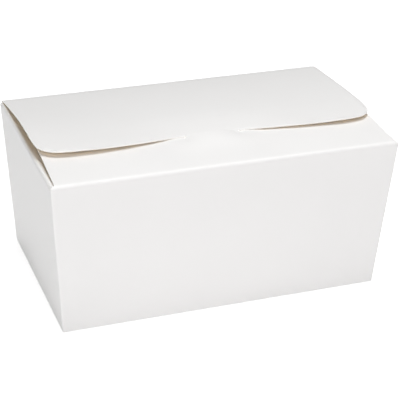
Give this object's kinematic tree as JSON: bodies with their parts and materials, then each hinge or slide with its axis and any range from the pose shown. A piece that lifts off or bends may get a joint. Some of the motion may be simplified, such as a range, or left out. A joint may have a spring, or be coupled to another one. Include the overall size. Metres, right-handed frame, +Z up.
{
  "type": "ballotin box",
  "caption": "Flared rectangular folding carton for sweets, with a bowed hinged top flap that locks by a tongue through a slit in the flap under it.",
  "frame": {"origin": "middle of the bottom, on the plane the box stands on", "axes": "+X along the length, -Y towards the front wall and the front flap, +Y towards the back wall and its hinge, +Z up"},
  "size_m": [0.154, 0.09, 0.0745],
  "materials": {
    "white_board": "smooth coated, semi-gloss, with a tan uncoated inside",
    "tongue_board": "smooth coated, semi-gloss, with a tan uncoated inside"
  },
  "bodies": {
    "box": {"carton": "white_board"},
    "flap": {"back_flap": "white_board", "lock_tongue": "tongue_board"}
  },
  "joints": [
    {"name": "back_flap_hinge", "type": "hinge", "parent": "box", "child": "flap", "pos_m": [0, 0.0441, 0.0696], "axis": [-1, 0, 0], "range_deg": [0, 110], "deforming": ["lock_tongue"]}
  ]
}
